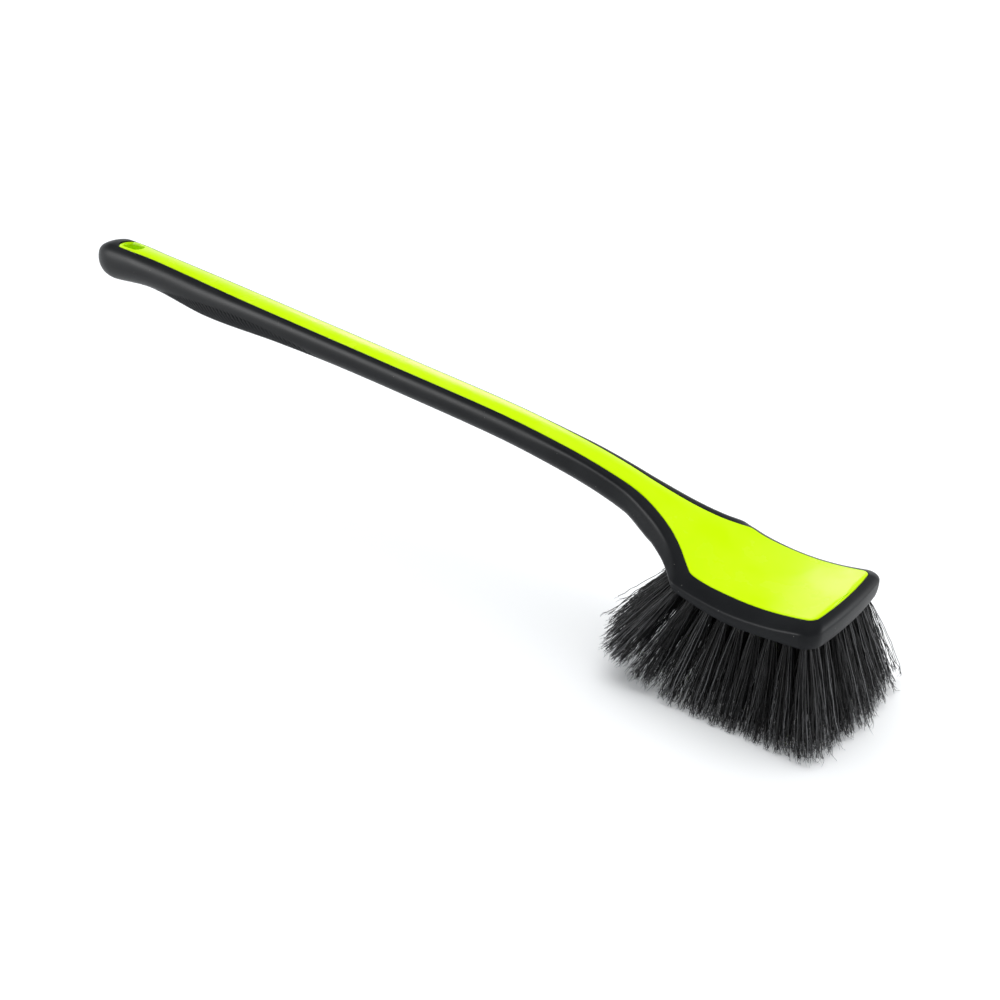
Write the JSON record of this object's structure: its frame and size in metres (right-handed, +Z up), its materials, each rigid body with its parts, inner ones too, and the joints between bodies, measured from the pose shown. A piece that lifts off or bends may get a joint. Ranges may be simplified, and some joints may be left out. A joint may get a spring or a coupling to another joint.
{
  "type": "wheel brush",
  "caption": "Long-handled wheel brush: stiff core with a soft overmoulded grip and rim, a dished head flared from the neck, a hanging eye in the tail and splayed bristle tufts.",
  "frame": {"origin": "middle of the bounding box in plan, on the level of the longest bristle tips", "axes": "+X along the brush from the tail to the front of the head, +Y across the head, +Z up out of the back of the head; the bristles point to -Z"},
  "size_m": [0.5698, 0.0946, 0.1347],
  "materials": {
    "core_plastic": "satin moulded, bright lime",
    "grip_rubber": "matte soft-touch, near black",
    "bristle": "fine black filaments"
  },
  "bodies": {
    "root": {"handle_core": "core_plastic", "grip_overmould": "grip_rubber", "tuft_ring_01": "bristle", "tuft_ring_02": "bristle", "tuft_ring_03": "bristle", "tuft_ring_04": "bristle", "tuft_ring_05": "bristle", "tuft_ring_06": "bristle", "tuft_ring_07": "bristle", "tuft_ring_08": "bristle", "tuft_ring_09": "bristle", "tuft_ring_10": "bristle", "tuft_ring_11": "bristle", "tuft_ring_12": "bristle", "tuft_ring_13": "bristle", "tuft_ring_14": "bristle", "tuft_ring_15": "bristle", "tuft_ring_16": "bristle", "tuft_ring_17": "bristle", "tuft_ring_18": "bristle", "tuft_ring_19": "bristle", "tuft_ring_20": "bristle", "tuft_ring_21": "bristle", "tuft_ring_22": "bristle", "tuft_ring_23": "bristle", "tuft_ring_24": "bristle", "tuft_ring_25": "bristle", "tuft_ring_26": "bristle", "tuft_ring_27": "bristle", "tuft_ring_28": "bristle", "tuft_ring_29": "bristle", "tuft_ring_30": "bristle", "tuft_ring_31": "bristle", "tuft_ring_32": "bristle", "tuft_inner_01": "bristle", "tuft_inner_02": "bristle", "tuft_inner_03": "bristle", "tuft_inner_04": "bristle", "tuft_inner_05": "bristle", "tuft_inner_06": "bristle", "tuft_inner_07": "bristle", "tuft_inner_08": "bristle", "tuft_inner_09": "bristle", "tuft_inner_10": "bristle", "tuft_inner_11": "bristle", "tuft_inner_12": "bristle", "tuft_inner_13": "bristle", "tuft_inner_14": "bristle", "tuft_inner_15": "bristle", "tuft_inner_16": "bristle", "tuft_inner_17": "bristle", "tuft_inner_18": "bristle", "tuft_inner_19": "bristle", "tuft_inner_20": "bristle", "tuft_inner_21": "bristle", "tuft_inner_22": "bristle", "tuft_inner_23": "bristle", "tuft_inner_24": "bristle"}
  },
  "joints": []
}
